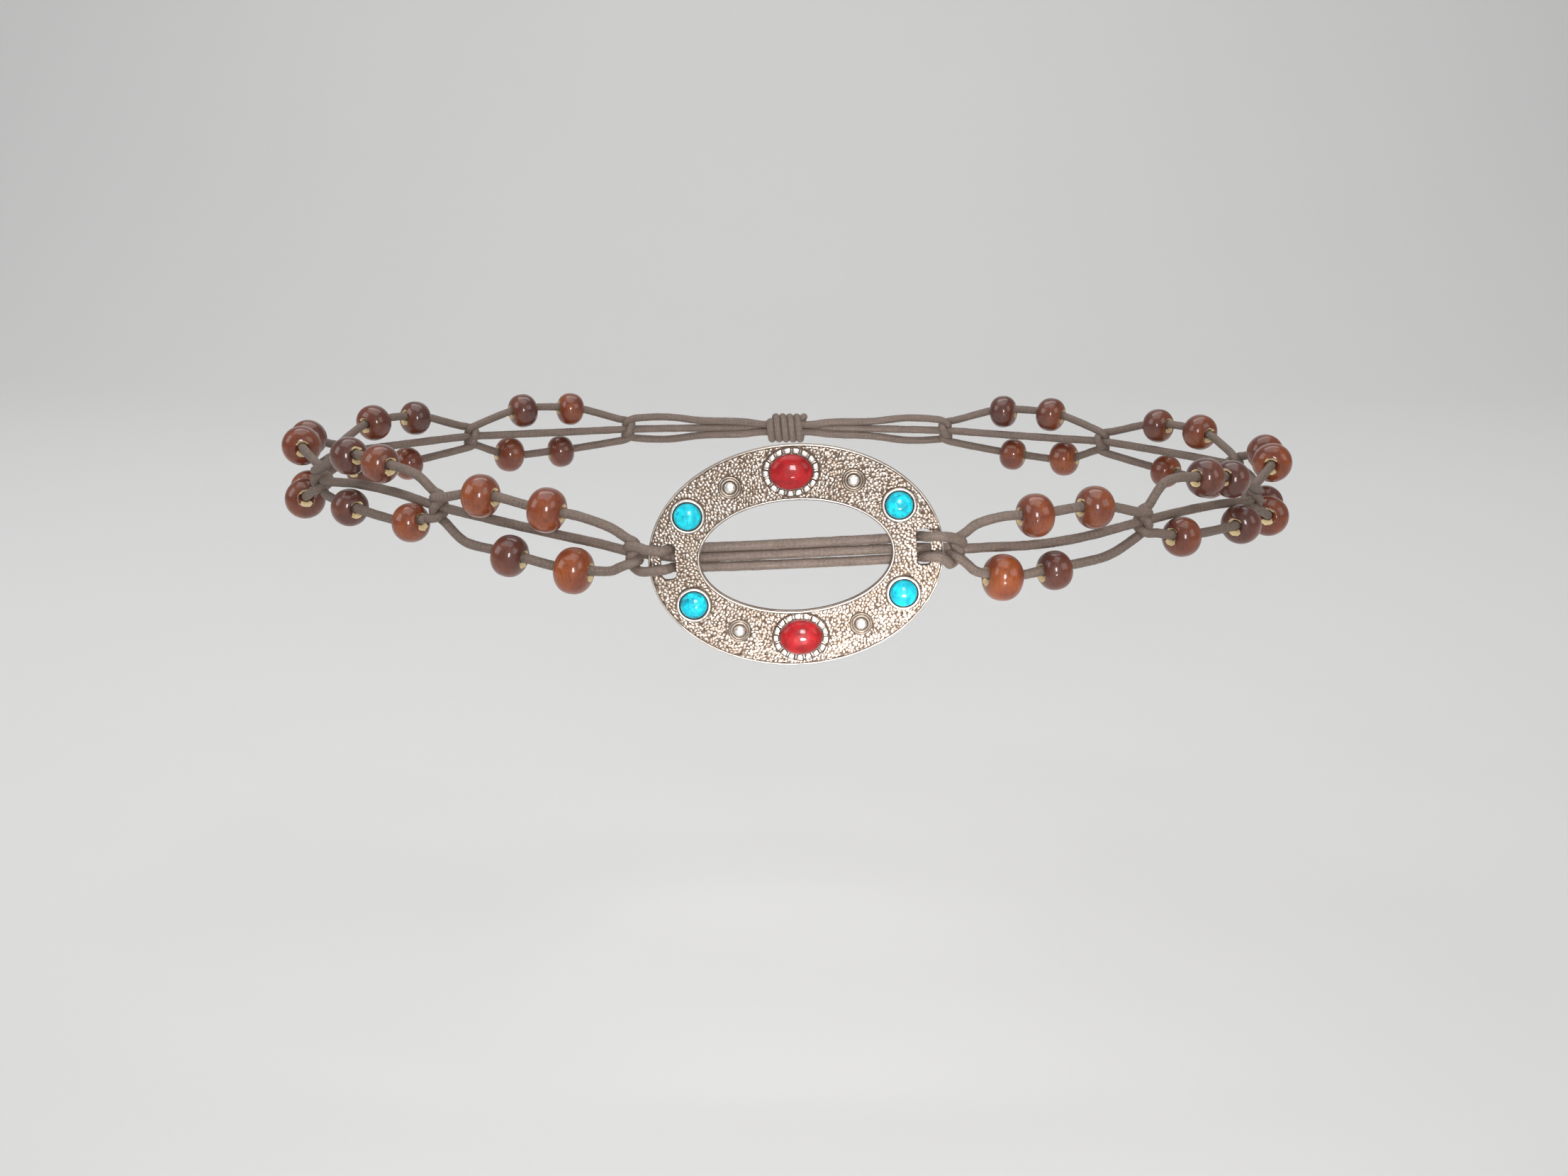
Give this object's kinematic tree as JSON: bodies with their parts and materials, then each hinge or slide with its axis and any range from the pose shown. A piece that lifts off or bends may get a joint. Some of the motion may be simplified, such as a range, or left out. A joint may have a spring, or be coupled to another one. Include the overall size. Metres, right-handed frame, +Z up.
{
  "type": "braided cord waist belt",
  "caption": "Waist belt of waxed cords knotted round a middle cord, threaded with round wooden beads and joined at the front by a pebbled oval metal ring plate set with stones.",
  "frame": {"origin": "middle of the waist that the belt goes round, level with the belt's mean height", "axes": "+Z up, the wearer's front with the ring plate towards -Y, +X towards the right of the picture"},
  "size_m": [0.3186, 0.2111, 0.061],
  "materials": {
    "waxed_cord": "twisted waxed cotton cord, grey-brown, low sheen, slightly fuzzy",
    "antique_silver": "cast plate with an antique silver finish, pebbled field, dark recesses and bright worn highs",
    "bead_wood": "glossy lacquered red-brown wood, pale raw wood round the bore",
    "red_stone": "polished coral-red cabochon with darker mottling",
    "turquoise_stone": "polished turquoise cabochon with thin dark veins"
  },
  "bodies": {
    "root": {"oval_ring_plate": "antique_silver", "red_stone_top": "red_stone", "red_stone_bottom": "red_stone", "turquoise_top_left": "turquoise_stone", "turquoise_top_right": "turquoise_stone", "turquoise_bottom_left": "turquoise_stone", "turquoise_bottom_right": "turquoise_stone", "cord_ring_top": "waxed_cord", "cord_ring_bottom": "waxed_cord", "cord_middle": "waxed_cord", "bead_left_1_lower_1": "bead_wood", "bead_left_1_lower_2": "bead_wood", "bead_left_2_upper_1": "bead_wood", "bead_left_2_upper_2": "bead_wood", "bead_left_3_lower_1": "bead_wood", "bead_left_3_lower_2": "bead_wood", "bead_left_4_upper_1": "bead_wood", "bead_left_4_upper_2": "bead_wood", "bead_left_5_lower_1": "bead_wood", "bead_left_5_lower_2": "bead_wood", "bead_right_1_lower_1": "bead_wood", "bead_right_1_lower_2": "bead_wood", "bead_right_2_upper_1": "bead_wood", "bead_right_2_upper_2": "bead_wood", "bead_right_3_lower_1": "bead_wood", "bead_right_3_lower_2": "bead_wood", "bead_right_4_upper_1": "bead_wood", "bead_right_4_upper_2": "bead_wood", "bead_right_5_lower_1": "bead_wood", "bead_right_5_lower_2": "bead_wood", "bead_left_1_upper_1": "bead_wood", "bead_left_1_upper_2": "bead_wood", "bead_left_2_lower_1": "bead_wood", "bead_left_2_lower_2": "bead_wood", "bead_left_3_upper_1": "bead_wood", "bead_left_3_upper_2": "bead_wood", "bead_left_4_lower_1": "bead_wood", "bead_left_4_lower_2": "bead_wood", "bead_left_5_upper_1": "bead_wood", "bead_left_5_upper_2": "bead_wood", "bead_right_1_upper_1": "bead_wood", "bead_right_1_upper_2": "bead_wood", "bead_right_2_lower_1": "bead_wood", "bead_right_2_lower_2": "bead_wood", "bead_right_3_upper_1": "bead_wood", "bead_right_3_upper_2": "bead_wood", "bead_right_4_lower_1": "bead_wood", "bead_right_4_lower_2": "bead_wood", "bead_right_5_upper_1": "bead_wood", "bead_right_5_upper_2": "bead_wood", "back_tie": "waxed_cord"}
  },
  "joints": []
}
